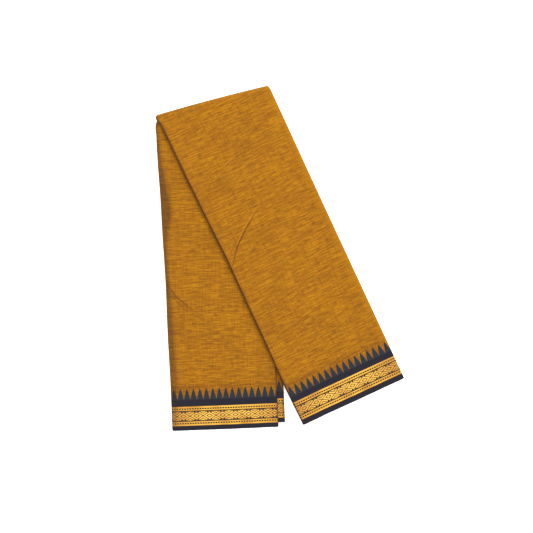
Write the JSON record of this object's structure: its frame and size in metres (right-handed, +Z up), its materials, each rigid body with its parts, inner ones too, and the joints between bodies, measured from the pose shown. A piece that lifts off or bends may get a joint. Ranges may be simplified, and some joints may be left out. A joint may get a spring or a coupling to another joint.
{
  "type": "folded saree",
  "caption": "Cotton saree pressed into a long pack, turned over on itself at a slant and fanned, with a woven temple border at both hems.",
  "frame": {"origin": "middle of the bounding box, on the table that the saree lies on", "axes": "+Y from the hems towards the turn that joins the legs, +X to the right across the legs, +Z up from the table"},
  "size_m": [0.4442, 0.6186, 0.0195],
  "materials": {
    "field_cloth": "two-tone mustard and brown handloom cotton, matt",
    "border_cloth": "near-black cotton border with gold thread, matt with a metallic sheen on the thread",
    "layers_cloth": "the same cotton seen at its folded edges, matt"
  },
  "bodies": {
    "root": {"upper_field": "field_cloth", "upper_border": "border_cloth", "lower_field": "field_cloth", "lower_border": "border_cloth", "second_leaf_field": "field_cloth", "second_leaf_border": "border_cloth", "hidden_layers": "layers_cloth"}
  },
  "joints": []
}
